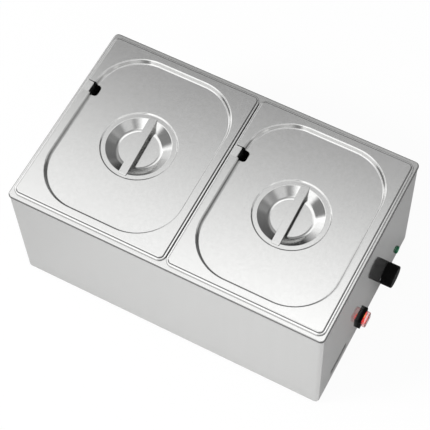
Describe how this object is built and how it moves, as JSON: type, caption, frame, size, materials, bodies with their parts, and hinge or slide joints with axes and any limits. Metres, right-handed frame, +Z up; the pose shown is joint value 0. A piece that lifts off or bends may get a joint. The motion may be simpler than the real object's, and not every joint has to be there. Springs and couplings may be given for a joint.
{
  "type": "bain-marie",
  "caption": "Countertop food warmer: a steel water bath in a brushed casing holds two lidded half-size pans over a heating element, with a knob, a rocker switch and a lamp.",
  "frame": {"origin": "centre of the footprint's box, knob and cable gland included, on the floor under the feet", "axes": "+X towards the end with the controls and along the two pans, +Y towards the back with the cable gland, +Z up"},
  "size_m": [0.5594, 0.3538, 0.2523],
  "materials": {
    "casing_steel": "brushed, plain",
    "tank_steel": "satin",
    "pan_steel": "satin",
    "lid_steel": "satin",
    "inner_steel": "mill finish",
    "element_steel": "dull, heat stained",
    "screw_steel": "bright zinc",
    "foot_rubber": "matt",
    "black_plastic": "matt black",
    "clear_cover": "clear, flexible",
    "red_rocker": "lit red",
    "green_lens": "translucent green",
    "white_insulator": "matt white",
    "insulation": "fibre board",
    "copper": "copper",
    "brass": "plain",
    "brown_wire": "silicone sleeve",
    "blue_wire": "silicone sleeve",
    "earth_wire": "silicone sleeve",
    "white_wire": "silicone sleeve"
  },
  "bodies": {
    "housing": {"outer_casing": "casing_steel", "back_panel": "casing_steel", "water_tank": "tank_steel", "long_studs": "inner_steel", "short_studs": "inner_steel", "base_plate": "inner_steel", "base_plate_screws": "screw_steel", "foot_screws": "screw_steel", "foot_nuts": "screw_steel", "foot_front_left": "foot_rubber", "foot_front_right": "foot_rubber", "foot_back_left": "foot_rubber", "foot_back_right": "foot_rubber", "heating_element": "element_steel", "element_terminals": "white_insulator", "clamp_bar_left": "inner_steel", "clamp_bar_middle": "inner_steel", "clamp_bar_right": "inner_steel", "stud_nuts": "screw_steel", "insulation_board": "insulation", "heat_shield": "inner_steel", "thermostat_body": "black_plastic", "thermostat_screws": "screw_steel", "thermostat_bulb": "copper", "capillary_tube": "copper", "bulb_clip": "inner_steel", "overheat_cutout": "black_plastic", "small_nuts": "screw_steel", "switch_body": "black_plastic", "switch_frame": "black_plastic", "splash_cover": "clear_cover", "lamp_lens": "green_lens", "lamp_body": "white_insulator", "lamp_nut": "screw_steel", "terminal_block": "white_insulator", "terminal_screws": "brass", "earth_stud": "brass", "earth_nut": "brass", "gland_body": "black_plastic", "gland_cap": "black_plastic", "gland_nut": "black_plastic", "spade_tabs": "brass", "wire_live_in": "brown_wire", "wire_switch_to_thermostat": "brown_wire", "wire_thermostat_to_cutout": "brown_wire", "wire_cutout_to_element": "brown_wire", "wire_neutral_in": "blue_wire", "wire_neutral_to_element": "blue_wire", "wire_earth": "earth_wire", "lamp_wires": "white_wire"},
    "pan_left": {"pan_left": "pan_steel"},
    "pan_right": {"pan_right": "pan_steel"},
    "lid_left": {"lid_left": "lid_steel", "lid_handle_left": "lid_steel"},
    "lid_right": {"lid_right": "lid_steel", "lid_handle_right": "lid_steel"},
    "knob": {"thermostat_knob": "black_plastic", "thermostat_shaft": "inner_steel"},
    "rocker": {"switch_rocker": "red_rocker"}
  },
  "joints": [
    {"name": "pan_left_lift", "type": "slide", "parent": "housing", "child": "pan_left", "axis": [0, 0, 1], "range_m": [0, 0.2]},
    {"name": "lid_left_lift", "type": "slide", "parent": "pan_left", "child": "lid_left", "axis": [0, 0, 1], "range_m": [0, 0.15]},
    {"name": "pan_right_lift", "type": "slide", "parent": "housing", "child": "pan_right", "axis": [0, 0, 1], "range_m": [0, 0.2]},
    {"name": "lid_right_lift", "type": "slide", "parent": "pan_right", "child": "lid_right", "axis": [0, 0, 1], "range_m": [0, 0.15]},
    {"name": "knob_turn", "type": "hinge", "parent": "housing", "child": "knob", "pos_m": [0.2591, 0.0706, 0.0328], "axis": [1, 0, 0], "range_deg": [-270, 0]},
    {"name": "rocker_press", "type": "hinge", "parent": "housing", "child": "rocker", "pos_m": [0.2566, -0.0189, 0.0313], "axis": [0, 0, -1], "range_deg": [0, 20]}
  ]
}
